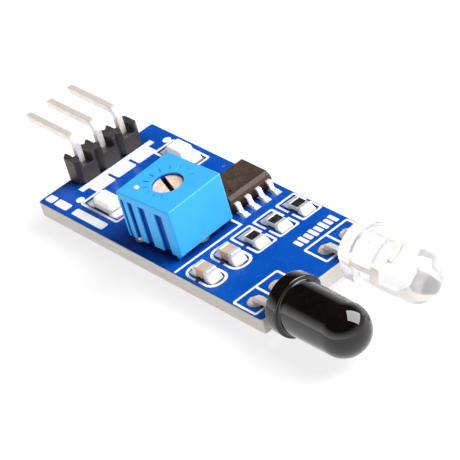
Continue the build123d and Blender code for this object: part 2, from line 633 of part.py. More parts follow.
def make_eyes():
    """The receiver, the emitter and the solder round their four leads."""
    for name, x in EYE_XS.items():
        make_eye(name, x)
    wire = Box(EYE_LEAD, EYE_LEAD, 4 * BOARD_Z)
    bend = [eye_lead(x, 0) for x, y in EYE_HOLES]
    save("eye_solder", *[solder_joint(p, EYE_HOLE_R, EYE_LEAD * 1.2) - Pos(*p) * wire - lead
                         for p, lead in zip(EYE_HOLES, bend)])


os.makedirs("parts", exist_ok=True)
make_board()
make_silkscreen()
make_header()
make_header_solder()
make_trimmer()
make_comparator()
save("chip_solder", *(make_capacitors() + make_resistors() + make_lamps()))
make_eyes()
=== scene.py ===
# %% [markdown]
# # Dressing an infrared sensor module
#
# The object is a small circuit board with a black receiver and a clear emitter at one end, a blue
# trimming potentiometer and a comparator chip in the middle, and a three-pin header at the other
# end. Its mechanical design is already packed as a set of solids, in metres. This lesson leaves
# those solids where they are and gives them what a camera sees: soft edges, drawn wire, flowed
# solder, moulded epoxy, and a finish for every surface.
#
# Nearly every piece is placed from the solids' own boxes, so it follows them if they change.

# %% Load the frame
import json
from math import atan, cos, degrees, radians, sin

import bpy
import numpy as np
from mathutils import Matrix, Vector


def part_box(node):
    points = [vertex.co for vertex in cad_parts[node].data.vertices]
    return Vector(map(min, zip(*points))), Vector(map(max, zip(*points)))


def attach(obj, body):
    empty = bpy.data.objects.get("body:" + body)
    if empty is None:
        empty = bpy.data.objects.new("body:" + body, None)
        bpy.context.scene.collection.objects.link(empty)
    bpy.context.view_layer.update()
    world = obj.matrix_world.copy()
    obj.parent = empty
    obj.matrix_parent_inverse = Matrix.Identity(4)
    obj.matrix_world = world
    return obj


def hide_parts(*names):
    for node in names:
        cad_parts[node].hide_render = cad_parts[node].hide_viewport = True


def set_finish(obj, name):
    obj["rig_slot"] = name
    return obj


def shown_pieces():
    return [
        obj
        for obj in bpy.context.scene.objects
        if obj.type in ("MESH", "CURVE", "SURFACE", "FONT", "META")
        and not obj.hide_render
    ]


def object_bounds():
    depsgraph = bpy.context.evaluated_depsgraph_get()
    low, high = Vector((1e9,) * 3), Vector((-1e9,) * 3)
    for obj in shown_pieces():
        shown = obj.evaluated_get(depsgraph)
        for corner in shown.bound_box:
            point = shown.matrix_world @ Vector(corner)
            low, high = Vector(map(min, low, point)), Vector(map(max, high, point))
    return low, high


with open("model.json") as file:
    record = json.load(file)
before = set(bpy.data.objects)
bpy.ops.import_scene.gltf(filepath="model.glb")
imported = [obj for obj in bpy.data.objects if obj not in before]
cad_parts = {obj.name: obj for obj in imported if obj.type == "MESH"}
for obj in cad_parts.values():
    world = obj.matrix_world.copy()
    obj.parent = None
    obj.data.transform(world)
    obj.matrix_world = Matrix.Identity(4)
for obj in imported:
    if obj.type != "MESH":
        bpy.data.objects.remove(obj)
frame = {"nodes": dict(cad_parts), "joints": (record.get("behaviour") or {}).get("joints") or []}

MM = 0.001
NODES = frame["nodes"]
CAD_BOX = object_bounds()
print(f"{len(NODES)} solids, {[round(size / MM, 2) for size in CAD_BOX[1] - CAD_BOX[0]]} mm")

# %% [markdown]
# ## Surfaces from arrays
#
# A shape here is a function of two parameters. One runs round a ring, the other along the stack of
# rings, and both are whole numpy arrays, so a surface is one formula and no loop over points. A
# stack closes itself: quads join each ring to the next, and a fan of triangles closes each end on
# the middle of its last ring. Spinning, lofting and sweeping are all this one idea with a different
# formula for the ring, which is why one small function serves for every new piece.


# %% Join rings into a closed surface
def closed_skin(rings):
    """Points and faces of a closed surface through rings[i, j], which is point j of ring i.

    Face (i, j) joins points j and j + 1 of ring i to the same points of ring i + 1. The enclosed
    volume is a sixth of the sum of the triple products of its triangles, and where that comes out
    negative every face is turned over, so that faces always point outwards.
    """
    rows, columns, _ = rings.shape
    here = np.arange(rows * columns).reshape(rows, columns)
    right = np.roll(here, -1, axis=1)
    quads = np.stack([here[:-1], right[:-1], right[1:], here[1:]], -1).reshape(-1, 4)
    first, last = rows * columns, rows * columns + 1
    start = np.stack([right[0], here[0], np.full(columns, first)], -1)
    end = np.stack([here[-1], right[-1], np.full(columns, last)], -1)
    points = np.vstack([rings.reshape(-1, 3), rings[0].mean(0), rings[-1].mean(0)])
    triangles = np.vstack([quads[:, [0, 1, 2]], quads[:, [0, 2, 3]], start, end])
    corner = points[triangles] - points.mean(0)
    volume = np.einsum("ij,ij->i", corner[:, 0], np.cross(corner[:, 1], corner[:, 2])).sum() / 6
    faces = quads.tolist() + start.tolist() + end.tolist()
    return points, [face[::-1] for face in faces] if volume < 0 else faces


# %% Rings that are rounded rectangles
def rectangle_rings(centre, half, corner, height, steps=5):
    """A stack of rounded rectangles, one for each row of centre, half, corner and height.

    A corner is the quarter circle centre + sign * (half - corner) + corner * (cos t, sin t), and
    the four quarters follow each other round the ring.
    """
    quarter = np.linspace(0, np.pi / 2, steps)
    angle = (np.arange(4)[:, None] * np.pi / 2 + quarter).ravel()
    sign = np.repeat([[1, 1], [-1, 1], [-1, -1], [1, -1]], steps, axis=0)
    height = np.asarray(height, float)
    centre = np.broadcast_to(centre, (len(height), 2))
    half = np.broadcast_to(half, (len(height), 2))
    corner = np.broadcast_to(corner, height.shape)[:, None, None]
    turn = np.stack([np.cos(angle), np.sin(angle)], -1)
    flat = centre[:, None] + sign * (half[:, None] - corner) + corner * turn
    return np.concatenate([flat, np.broadcast_to(height[:, None, None], flat[..., :1].shape)], -1)


def soft_block(low, high, ease, draft=0.0):
    """A moulded block between two corners: every edge is a quarter circle of radius ease.

    Going up the stack, the outline is drawn in by ease * (1 - sin t) while the height is
    ease * (1 - cos t) from the end. One more ring on each flat end keeps that end's shading flat.
    draft is how much further in the top is than the bottom.
    """
    low, high = np.array(low), np.array(high)
    arc = np.linspace(0, np.pi / 2, 4)
    inset = np.concatenate([[2 * ease], ease * (1 - np.sin(arc))])
    rise = np.concatenate([[0], ease * (1 - np.cos(arc))])
    lean = np.concatenate([np.zeros(len(inset)), np.full(len(inset), draft)])
    inset = np.concatenate([inset, inset[::-1]]) + lean
    height = np.concatenate([low[2] + rise, high[2] - rise[::-1]])
    half = (high - low)[:2] / 2
    corner = np.maximum(2 * ease - inset + lean, 0.3 * ease)
    return closed_skin(rectangle_rings((low + high)[:2] / 2, half - inset[:, None], corner, height))


# %% Rings round an axis
def turned(profile, centre, axis, columns=64):
    """A turned surface: ring i has radius profile[i, 0] and lies profile[i, 1] along axis.

    A ring is centre + along * axis + radius * (cos t * side + sin t * up).
    """
    axis = np.array(axis, float)
    side = np.cross(axis, [0, 0, 1] if abs(axis[2]) < 0.9 else [1, 0, 0])
    side /= np.linalg.norm(side)
    up = np.cross(side, axis)
    angle = np.linspace(0, 2 * np.pi, columns, endpoint=False)[None, :, None]
    radius, along = profile[:, 0][:, None, None], profile[:, 1][:, None, None]
    return np.array(centre) + along * axis + radius * (np.cos(angle) * side + np.sin(angle) * up)


def arc(centre, radius, start, end, steps=8):
    """Points centre + radius * (cos t, sin t) from one angle to the other, in degrees."""
    angle = np.radians(np.linspace(start, end, steps))
    return np.array(centre) + radius * np.stack([np.cos(angle), np.sin(angle)], -1)


# %% A section carried along a bent wire
def bent_path(corners, radius, steps=8):
    """A path in the Y-Z plane through straight stretches and arcs of one radius.

    An arc that turns by an angle a starts radius * tan(a / 2) before its corner. Its points are the
    quadratic blend that leaves one stretch and joins the next, which at this size is an arc.
    """
    corners = np.array(corners, float)
    runs = np.diff(corners, axis=0)
    heading = runs / np.linalg.norm(runs, axis=1)[:, None]
    path = [corners[:1]]
    blend = np.linspace(0, 1, steps)[:, None]
    for corner, before, after in zip(corners[1:-1], heading, heading[1:]):
        turn = np.arccos(np.clip(before @ after, -1, 1))
        reach = radius * np.tan(turn / 2)
        start, end = corner - reach * before, corner + reach * after
        path.append((1 - blend) ** 2 * start + 2 * blend * (1 - blend) * corner + blend ** 2 * end)
    return np.vstack(path + [corners[-1:]])


def drawn_wire(x, path, half_width, half_thick, ease, taper=(1.0, 1.0)):
    """A wire of rounded rectangular section carried along a Y-Z path at one X.

    Ring i is the section laid across the path: its width stays along X, and its thickness follows
    the path's normal, the heading turned by a right angle. Each end shrinks by its taper.
    """
    heading = np.gradient(path, axis=0)
    heading /= np.linalg.norm(heading, axis=1)[:, None]
    normal = np.stack([-heading[:, 1], heading[:, 0]], -1)
    scale = np.ones(len(path))
    scale[0], scale[-1] = taper
    section = rectangle_rings((0, 0), (half_width, half_thick), ease, [0.0], steps=4)[0]
    offset = scale[:, None, None] * section[None, :, 1:2] * normal[:, None]
    ring_x = x + scale[:, None] * section[None, :, 0]
    return closed_skin(np.concatenate([ring_x[..., None], path[:, None] + offset], -1))


# %% Put surfaces into a piece
def make_piece(name, skins, body, slot, replaces=(), sharp=40):
    """One object from several closed skins, riding on a body and standing for CAD nodes."""
    points, faces, offset = [], [], 0
    for skin_points, skin_faces in skins:
        points.append(skin_points)
        faces += [[index + offset for index in face] for face in skin_faces]
        offset += len(skin_points)
    mesh = bpy.data.meshes.new(name)
    mesh.from_pydata(np.vstack(points).tolist(), [], faces)
    mesh.shade_smooth()
    mesh.set_sharp_from_angle(angle=radians(sharp))
    piece = bpy.data.objects.new(name, mesh)
    bpy.context.scene.collection.objects.link(piece)
    piece.modifiers.new("even shading", "WEIGHTED_NORMAL").keep_sharp = True
    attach(piece, body)
    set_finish(piece, slot)
    if replaces:
        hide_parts(*replaces)
    print(f"{name}: {len(skins)} skins, {len(faces)} faces, for {', '.join(replaces) or 'nothing'}")


# %% [markdown]
# ## Infrared receiver and emitter
#
# Both are epoxy cast round their leads in the same mould: a flange at the back, a straight barrel
# with a little draft so that it leaves the mould, and a round dome that is the lens. One side of
# the flange has a flat that marks the shorter lead. A turned surface is the natural way to make
# them, because the whole shape is one profile, and the flat is made by holding the flange's points
# back at one plane.

# %% Cast epoxy lenses
BARREL_SHARE = 2.5 / 2.9     # barrel radius as a share of the flange's
FLANGE_THICK = 1.4 * MM
RIM_EASE = 0.16 * MM
NECK_EASE = 0.22 * MM
DRAFT_SHARE = 0.985          # barrel radius at the dome as a share of that at the flange


def lens_profile(flange_r, length):
    """Radius and distance along the axis, from the middle of the back face to the dome's tip."""
    barrel_r = flange_r * BARREL_SHARE
    dome_r = barrel_r * DRAFT_SHARE
    shoulder = length - dome_r
    return np.vstack([
        [[0.02 * flange_r, 0], [0.9 * flange_r, 0]],
        arc((flange_r - RIM_EASE, RIM_EASE), RIM_EASE, -90, 0, 6),
        arc((flange_r - RIM_EASE, FLANGE_THICK - RIM_EASE), RIM_EASE, 0, 90, 6),
        arc((barrel_r + NECK_EASE, FLANGE_THICK + NECK_EASE), NECK_EASE, 270, 180, 6),
        np.linspace((barrel_r, FLANGE_THICK + 2 * NECK_EASE),
                    (dome_r, shoulder - 0.02 * length), 6),
        arc((0, shoulder), dome_r, 0, 89, 28),
    ])


def cast_lens(kind, slot):
    """The lens of the emitter or the receiver, with the flat on the side nearer the middle."""
    low, high = (np.array(corner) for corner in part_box(f"{kind}_lens"))
    flange_r = (high[2] - low[2]) / 2
    inward = 1 if low[0] < -high[0] else -1
    outer, flat = (low[0], high[0]) if inward > 0 else (high[0], low[0])
    centre = (outer + inward * flange_r, high[1], (low[2] + high[2]) / 2)
    rings = turned(lens_profile(flange_r, high[1] - low[1]), centre, (0, -1, 0), 96)
    on_flange = rings[..., 1] > high[1] - FLANGE_THICK - 0.1 * RIM_EASE
    held = np.minimum(rings[..., 0], flat) if inward > 0 else np.maximum(rings[..., 0], flat)
    rings[..., 0] = np.where(on_flange, held, rings[..., 0])
    make_piece(f"{kind}_casting", [closed_skin(rings)], "board", slot, [f"{kind}_lens"])


cast_lens("receiver", "black_epoxy")
cast_lens("emitter", "clear_epoxy")

# %% [markdown]
# ## Header pins
#
# A header pin is square brass wire, tinned after it is cut, bent once, and pinched to a blunt point
# at both ends so that it finds its hole. A square section swept along the wire's path gives the
# bend its real inner and outer radius, which a bevelled box can't do.

# %% Pinched square pins
PIN_BEND = 0.75 * MM
PIN_EASE = 0.05 * MM
PIN_POINT = 0.3 * MM
PIN_POINT_SHARE = 0.62


def header_wire(number):
    """One pin: up through the board and the housing, then level towards the plug."""
    low, high = (np.array(corner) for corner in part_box(f"header_pin_{number}"))
    half = (high[0] - low[0]) / 2
    upright, level = low[1] + half, high[2] - half
    path = bent_path([(upright, low[2]), (upright, low[2] + PIN_POINT), (upright, level),
                      (high[1] - PIN_POINT, level), (high[1], level)], PIN_BEND)
    path = path[np.concatenate([[True], np.linalg.norm(np.diff(path, axis=0), axis=1) > 1e-7])]
    skin = drawn_wire((low[0] + high[0]) / 2, path, half, half, PIN_EASE,
                      (PIN_POINT_SHARE, PIN_POINT_SHARE))
    make_piece(f"header_wire_{number}", [skin], "board", "tinned_wire", [f"header_pin_{number}"])


for number in (1, 2, 3):
    header_wire(number)

# %% [markdown]
# ## Comparator leads
#
# The leads are punched from one flat strip and then formed, so they are wide, thin and bent in two
# places like a gull's wing. They are swept like the pins, with a flatter section, and the four on
# one side are the four on the other side mirrored, with the path's direction turned.

# %% Gull wings
LEADS_A_SIDE = 4
LEAD_HALF_WIDTH = 0.25 * MM
LEAD_HALF_THICK = 0.1 * MM
LEAD_BEND = 0.2 * MM
KNEE_OUT = 0.28 * MM         # how far the level part stands out of the body
STEP_OUT = 0.2 * MM          # how far the slope leans out on its way down
LEAD_ROOT = 0.6              # where a lead starts, as a share of the body's half width
LEAD_EASE = 0.35 * LEAD_HALF_THICK
TOE_SHARE = 0.96             # size of the section at the toe


def gull_wings():
    """All eight leads, each from inside the body to the end of its foot."""
    low, high = (np.array(corner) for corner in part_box("comparator_leads"))
    body_low, body_high = (np.array(corner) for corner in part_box("comparator_body"))
    middle = (low[1] + high[1]) / 2
    body_half, foot_half = (body_high[1] - body_low[1]) / 2, (high[1] - low[1]) / 2
    foot_z, shoulder_z = low[2] + LEAD_HALF_THICK, high[2] - LEAD_HALF_THICK
    knee = body_half + KNEE_OUT
    skins = []
    for side in (-1, 1):
        path = bent_path([(middle + side * out, z) for out, z in (
            (LEAD_ROOT * body_half, shoulder_z), (knee, shoulder_z), (knee + STEP_OUT, foot_z),
            (foot_half, foot_z))], LEAD_BEND)
        for x in np.linspace(low[0] + LEAD_HALF_WIDTH, high[0] - LEAD_HALF_WIDTH, LEADS_A_SIDE):
            skins.append(drawn_wire(x, path, LEAD_HALF_WIDTH, LEAD_HALF_THICK, LEAD_EASE,
                                    (1.0, TOE_SHARE)))
    make_piece("comparator_gull_wings", skins, "board", "tinned_wire", ["comparator_leads"])


gull_wings()

# %% [markdown]
# ## Chip parts
#
# A chip capacitor is a brick of fired ceramic, and a chip resistor a thin white tile under a black
# glaze. Both are dipped in metal at their ends, so the ends are a little larger and rounder than
# the body. Soft blocks make all of them: the rounding is real geometry, which is what lets a small
# shiny end catch the light along its edges.

# %% Bodies and ends
CHIP_EASE = 0.05 * MM
END_EASE = 0.1 * MM
END_LONG = 0.48 * MM
END_PROUD = 0.03 * MM        # how far an end stands out over the body
CAPACITORS = ["capacitor_1", "capacitor_2"]
RESISTORS = [f"resistor_{number}" for number in range(1, 6)]


def long_axis(low, high):
    """0 for a part that lies along X, 1 for one along Y."""
    return int(high[1] - low[1] > high[0] - low[0])


def dipped_ends(low, high, end_long=END_LONG):
    """The two metal ends of a part that fills the box from low to high."""
    along = long_axis(low, high)
    ends = []
    for side in (-1, 1):
        end_low, end_high = low - END_PROUD, high + END_PROUD
        if side < 0:
            end_high[along] = end_low[along] + end_long
        else:
            end_low[along] = end_high[along] - end_long
        ends.append(soft_block(end_low, end_high, END_EASE))
    return ends


def chip_part(name, slot):
    """The body of one chip part, as large as its box; its ends stand proud of it."""
    low, high = (np.array(corner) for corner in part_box(name))
    make_piece(f"{name}_brick", [soft_block(low, high, CHIP_EASE)], "board", slot, [name])
    return low, high


CAPACITOR_BOXES = [chip_part(name, "tan_ceramic") for name in CAPACITORS]
RESISTOR_BOXES = [chip_part(name, "ceramic") for name in RESISTORS]
make_piece("capacitor_dipped_ends", [end for box in CAPACITOR_BOXES for end in dipped_ends(*box)],
           "board", "end_metal", ["capacitor_ends"])
make_piece("resistor_dipped_ends", [end for box in RESISTOR_BOXES for end in dipped_ends(*box)],
           "board", "end_metal", ["resistor_ends"])

# %% [markdown]
# The glaze on a resistor is a thin puddle of black glass, thickest in the middle, that was fired
# onto the tile between its ends.

# %% Resistor glaze
GLAZE_SIDE = 0.06 * MM
GLAZE_THICK = 0.05 * MM
GLAZE_SUNK = 0.01 * MM       # how far its rim lies below the tile's top
GLAZE_REACH = 0.08 * MM      # how far it reaches towards the ends past their length
GLAZE_DRAWN = 0.25 * MM      # how far its highest ring is drawn in
GLAZE_CORNER = 0.12 * MM


def glaze_puddle(low, high):
    """A puddle on a tile: each ring is the outline drawn in, raised as a quarter circle is."""
    along = long_axis(low, high)
    half = (high - low)[:2] / 2 - GLAZE_SIDE
    half[along] -= END_LONG - GLAZE_REACH
    drawn_in = np.linspace(0, 1, 7)
    height = high[2] - GLAZE_SUNK + GLAZE_THICK * np.sqrt(1 - (1 - drawn_in) ** 2)
    inset = (GLAZE_DRAWN * drawn_in ** 2)[:, None]
    corner = GLAZE_CORNER - inset[:, 0] / 3
    return closed_skin(rectangle_rings((low + high)[:2] / 2, half - inset, corner, height))


make_piece("resistor_glaze_puddles", [glaze_puddle(*box) for box in RESISTOR_BOXES], "board",
           "black_glaze", ["resistor_glaze"])

# %% [markdown]
# ## Indicator lamps
#
# An indicator lamp is a scrap of circuit board with plated ends and a block of milky epoxy moulded
# over the die. The mould leaves the block's ends sloping, so it is a soft block with some draft.

# %% Lamp bases, ends and lenses
LAMPS = ["power_lamp", "signal_lamp"]
LAMP_END_LONG = 0.5 * MM
CARRIER_EASE = 0.6 * CHIP_EASE
CAP_EASE, CAP_DRAFT = 0.09 * MM, 0.06 * MM


def lamp_parts(name):
    """Base and moulded lens of one lamp. Returns the base's box for its ends."""
    low, high = (np.array(corner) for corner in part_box(f"{name}_base"))
    make_piece(f"{name}_carrier", [soft_block(low, high, CARRIER_EASE)], "board", "ceramic",
               [f"{name}_base"])
    lens_low, lens_high = (np.array(corner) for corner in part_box(f"{name}_lens"))
    make_piece(f"{name}_cap", [soft_block(lens_low, lens_high, CAP_EASE, CAP_DRAFT)], "board",
               "milky_epoxy", [f"{name}_lens"])
    return low, high


LAMP_BOXES = [lamp_parts(name) for name in LAMPS]
make_piece("lamp_plated_ends",
           [end for box in LAMP_BOXES for end in dipped_ends(*box, LAMP_END_LONG)],
           "board", "end_metal", ["lamp_ends"])

# %% [markdown]
# ## Solder
#
# Molten solder wets the pad and the part and pulls itself into a hollow curve between them. Seen
# from above it is a rounded rectangle that shrinks quickly at first and then hardly at all, so a
# stack of rings whose outline falls off as the square of the height gives the curve. The inner edge
# under the part stays where it is, and only the free sides draw in.

# %% Hollow fillets under the chip parts
PAD_TOP = 0.025 * MM         # how far a pad lies below the mask's surface
FILLET_OUT = 0.46 * MM
FILLET_SIDE = 0.1 * MM
FILLET_CORNER, FILLET_FLARE = 0.06 * MM, 0.1 * MM
CAPACITOR_CLIMB, RESISTOR_CLIMB, LAMP_CLIMB = 0.82 * MM, 0.5 * MM, 0.36 * MM
MASK_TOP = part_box("top_solder_mask")[1][2]


def end_fillet(low, high, along, side, climb, end_long=END_LONG):
    """Solder at one end of a part: climb is how high it reaches up the metal."""
    rise = np.linspace(0, 1, 9)
    reach = (1 - rise) ** 1.5
    across = 1 - along
    tip = (high if side > 0 else low)[along] + side * (END_PROUD + FILLET_OUT * reach)
    inner = (high if side > 0 else low)[along] - side * (end_long - END_PROUD)
    centre = np.zeros((len(rise), 2))
    half = np.zeros((len(rise), 2))
    centre[:, along], half[:, along] = (tip + inner) / 2, abs(tip - inner) / 2
    centre[:, across] = (low[across] + high[across]) / 2
    half[:, across] = (high[across] - low[across]) / 2 + END_PROUD + FILLET_SIDE * reach
    corner = FILLET_CORNER + FILLET_FLARE * reach
    return closed_skin(rectangle_rings(centre, half, corner, MASK_TOP - PAD_TOP + climb * rise))


def chip_fillets(boxes, climb, end_long=END_LONG):
    """The fillets at both ends of every part in boxes."""
    return [end_fillet(low, high, long_axis(low, high), side, climb, end_long)
            for low, high in boxes for side in (-1, 1)]


make_piece("chip_fillets",
           chip_fillets(CAPACITOR_BOXES, CAPACITOR_CLIMB)
           + chip_fillets(RESISTOR_BOXES, RESISTOR_CLIMB)
           + chip_fillets(LAMP_BOXES, LAMP_CLIMB, LAMP_END_LONG),
           "board", "solder", ["chip_solder"])

# %% [markdown]
# The feet of the comparator sit in the same kind of fillet, longer and lower.

# %% Fillets at the comparator's feet
FOOT_LONG = 0.75 * MM
FOOT_CLIMB = 0.17 * MM


def foot_fillets():
    """One fillet under and round each of the eight feet."""
    low, high = (np.array(corner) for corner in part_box("comparator_leads"))
    skins = []
    for x in np.linspace(low[0] + LEAD_HALF_WIDTH, high[0] - LEAD_HALF_WIDTH, LEADS_A_SIDE):
        for side, toe in ((-1, low[1]), (1, high[1])):
            heel = toe - side * FOOT_LONG
            foot_low = np.array([x - LEAD_HALF_WIDTH, min(toe, heel), 0]) + END_PROUD
            foot_high = np.array([x + LEAD_HALF_WIDTH, max(toe, heel), 0]) - END_PROUD
            skins.append(end_fillet(foot_low, foot_high, 1, side, FOOT_CLIMB, FOOT_LONG))
    make_piece("comparator_fillets", skins, "board", "solder", ["comparator_solder"])


foot_fillets()

# %% [markdown]
# ## Painted highlight dot
#
# A small glossy white bead on the can's top is a painted highlight: it stands for the glint on the
# bead moulded into the can. It is a turned quarter ellipse that sits over that moulded bead.

# %% Painted highlight dot
TRIMMER_TURN = 3.4           # degrees, how askew the can sits
DOT_PLACE = (-1.95 * MM, 2.1 * MM)
DOT_R, DOT_RISE = 0.27 * MM, 0.15 * MM
BEAD_RISE = 0.12 * MM        # how far the moulded bead stands above the can's top


def can_top():
    """Height of the can's flat top, which is a little below the bead moulded on it."""
    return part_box("trimmer_can")[1][2] - BEAD_RISE


def glint_dot():
    """A painted highlight bead: radius DOT_R * cos t and height DOT_RISE * sin t, on the top of the
    can.
    """
    pivot = Vector(frame["joints"][0]["pos_m"])
    top = can_top() - 0.1 * DOT_RISE
    lean = radians(TRIMMER_TURN)
    out = np.array(DOT_PLACE)
    x, y = pivot.x + out @ (cos(lean), -sin(lean)), pivot.y + out @ (sin(lean), cos(lean))
    around = np.radians(np.linspace(0, 88, 9))
    bead = np.stack([DOT_R * np.cos(around), DOT_RISE * np.sin(around)], -1)
    profile = np.vstack([[[DOT_R, -0.5 * DOT_RISE]], bead])
    skin = closed_skin(turned(profile, (x, y, top), (0, 0, 1), 32))
    make_piece("glint_dot", [skin], "board", "white_ink")


glint_dot()

# %% [markdown]
# ## Edges of the solids that stay
#
# The can, the rotor, the housing and the chip's body have the right shape already. Their edges
# are razor sharp, as no moulding is. Their meshes are loose triangles, so a Weld modifier joins
# them, Decimate in its planar mode gives back the flat faces, and Bevel rounds the sharp edges
# that are left. The solids themselves are untouched underneath.

# %% Ease the edges of a solid
EASED = {"trimmer_can": 0.03, "trimmer_rotor": 0.04, "header_housing": 0.05,
         "comparator_body": 0.03}   # millimetres


def ease_edges(name, width, angle=30, segments=2):
    """Round every edge of one solid that turns by more than angle degrees."""
    solid = NODES[name]
    solid.modifiers.new("weld", "WELD").merge_threshold = 1e-7
    flats = solid.modifiers.new("flats", "DECIMATE")
    flats.decimate_type = "DISSOLVE"
    flats.angle_limit = radians(1)
    bevel = solid.modifiers.new("ease", "BEVEL")
    bevel.width, bevel.segments = width, segments
    bevel.limit_method, bevel.angle_limit = "ANGLE", radians(angle)
    print(f"{name}: edges eased by {width / MM:.3f} mm")


for name, width in EASED.items():
    ease_edges(name, width * MM)

# %% [markdown]
# ## Effects that materials share
#
# The colour of a small part is never quite even, and its surface has a fine grain. A moulded part
# also has rubbed edges, and dust on what faces up. Close to the tall parts the board's colour is
# darkened as painted shade, where less light reaches it. Each of these is a node group with named
# inputs, built once, and every material that needs it places it with its own values.


# %% Build a node group
def new_group(name, inputs, outputs):
    """An empty shader group. inputs are (name, kind, default), outputs are (name, kind)."""
    group = bpy.data.node_groups.new(name, "ShaderNodeTree")
    for label, kind, value in inputs:
        socket = group.interface.new_socket(label, in_out="INPUT", socket_type=f"NodeSocket{kind}")
        if value is not None:
            socket.default_value = value
    for label, kind in outputs:
        group.interface.new_socket(label, in_out="OUTPUT", socket_type=f"NodeSocket{kind}")
    return group, group.nodes.new("NodeGroupInput"), group.nodes.new("NodeGroupOutput")


def add_node(tree, kind, settings=None, **inputs):
    """A new node. An input is a plain value, or the socket that drives it."""
    node = tree.nodes.new(f"ShaderNode{kind}")
    for key, value in (settings or {}).items():
        setattr(node, key, value)
    for label, value in inputs.items():
        socket = node.inputs[int(label[1:]) if label[0] == "i" and label[1:].isdigit()
                             else label.replace("_", " ")]
        if isinstance(value, bpy.types.NodeSocket):
            tree.links.new(value, socket)
        else:
            socket.default_value = value
    return node


# %% Uneven colour
def build_mottle():
    """Colour that drifts between two tones: noise, spread between Low and High, mixes them."""
    group, given, result = new_group("uneven_colour", [
        ("Vector", "Vector", None), ("Scale", "Float", 1.0), ("Base", "Color", None),
        ("Tone", "Color", None), ("Low", "Float", 0.35), ("High", "Float", 0.7)],
        [("Color", "Color"), ("Mask", "Float")])
    noise = add_node(group, "TexNoise", Vector=given.outputs["Vector"],
                     Scale=given.outputs["Scale"], Detail=5.0, Roughness=0.6)
    mask = add_node(group, "MapRange", Value=noise.outputs["Fac"], From_Min=given.outputs["Low"],
                    From_Max=given.outputs["High"])
    mix = add_node(group, "Mix", {"data_type": "RGBA"}, i0=mask.outputs["Result"],
                   i6=given.outputs["Base"], i7=given.outputs["Tone"])
    group.links.new(mix.outputs[2], result.inputs["Color"])
    group.links.new(mask.outputs["Result"], result.inputs["Mask"])
    return group


MOTTLE = build_mottle()


# %% Fine grain
def build_grain():
    """A height between 0 and 1: coarse noise and noise four times finer, added together."""
    group, given, result = new_group("fine_grain", [
        ("Vector", "Vector", None), ("Scale", "Float", 8.0)], [("Height", "Float")])
    coarse = add_node(group, "TexNoise", Vector=given.outputs["Vector"],
                      Scale=given.outputs["Scale"], Detail=3.0)
    finer = add_node(group, "Math", {"operation": "MULTIPLY"}, i0=given.outputs["Scale"], i1=4.0)
    fine = add_node(group, "TexNoise", Vector=given.outputs["Vector"], Scale=finer.outputs[0],
                    Detail=2.0)
    both = add_node(group, "Math", {"operation": "MULTIPLY_ADD"}, i0=fine.outputs["Fac"], i1=0.4,
                    i2=coarse.outputs["Fac"])
    group.links.new(both.outputs[0], result.inputs["Height"])
    return group


GRAIN = build_grain()


# %% Rubbed edges
def build_rub():
    """How far the surface turns within a radius: one minus the cosine between the normal of the
    rounded surface and the true one, times an amount."""
    group, given, result = new_group("rubbed_edges", [
        ("Radius", "Float", 0.05 * MM), ("Amount", "Float", 4.0)], [("Mask", "Float")])
    rounded = add_node(group, "Bevel", {"samples": 4}, Radius=given.outputs["Radius"])
    surface = add_node(group, "NewGeometry")
    cosine = add_node(group, "VectorMath", {"operation": "DOT_PRODUCT"},
                      i0=rounded.outputs["Normal"], i1=surface.outputs["Normal"])
    turn = add_node(group, "Math", {"operation": "SUBTRACT"}, i0=1.0, i1=cosine.outputs["Value"])
    mask = add_node(group, "Math", {"operation": "MULTIPLY", "use_clamp": True}, i0=turn.outputs[0],
                    i1=given.outputs["Amount"])
    group.links.new(mask.outputs[0], result.inputs["Mask"])
    return group


RUB = build_rub()


# %% Settled dust
def build_dust():
    """Specks on what faces up: the normal's height, times noise above a threshold."""
    group, given, result = new_group("settled_dust", [
        ("Vector", "Vector", None), ("Scale", "Float", 3.0), ("Amount", "Float", 0.3)],
        [("Mask", "Float")])
    surface = add_node(group, "NewGeometry")
    parts = add_node(group, "SeparateXYZ", Vector=surface.outputs["Normal"])
    specks = add_node(group, "TexNoise", Vector=given.outputs["Vector"],
                      Scale=given.outputs["Scale"], Detail=6.0, Roughness=0.7)
    some = add_node(group, "MapRange", Value=specks.outputs["Fac"], From_Min=0.55, From_Max=0.8)
    facing = add_node(group, "MapRange", Value=parts.outputs["Z"], From_Min=0.5, From_Max=1.0)
    lying = add_node(group, "Math", {"operation": "MULTIPLY"}, i0=some.outputs["Result"],
                     i1=facing.outputs["Result"])
    mask = add_node(group, "Math", {"operation": "MULTIPLY", "use_clamp": True},
                    i0=lying.outputs[0], i1=given.outputs["Amount"])
    group.links.new(mask.outputs[0], result.inputs["Mask"])
    return group


DUST = build_dust()


# %% Painted shade in recesses
def build_recess():
    """How shut in a point is, for painted shade: one minus the share of short rays that get away,
    times an amount.
    """
    group, given, result = new_group("painted_recess_shade", [
        ("Reach", "Float", 0.5 * MM), ("Amount", "Float", 1.0)], [("Mask", "Float")])
    openness = add_node(group, "AmbientOcclusion", {"samples": 8}, Distance=given.outputs["Reach"])
    shut = add_node(group, "MapRange", Value=openness.outputs["AO"], From_Min=0.35, From_Max=0.9,
                    To_Min=1.0, To_Max=0.0)
    mask = add_node(group, "Math", {"operation": "MULTIPLY", "use_clamp": True},
                    i0=shut.outputs["Result"], i1=given.outputs["Amount"])
    group.links.new(mask.outputs[0], result.inputs["Mask"])
    return group


RECESS = build_recess()
print("groups:", [group.name for group in (MOTTLE, GRAIN, RUB, DUST, RECESS)])

# %% [markdown]
# ## Finishes
#
# Most finishes here are one of two families. A moulded finish has a colour that drifts a little,
# rubbed edges, dust and a fine grain. A metal finish drifts between bright and dull, and its
# roughness follows the same drift. Each family is one function, and each material is one call with
# the values of its own stuff. Numbers that don't vary are set on the shader itself.

# %% Start a material
MATERIALS = {}
DUST_COLOUR = (0.62, 0.6, 0.56, 1)


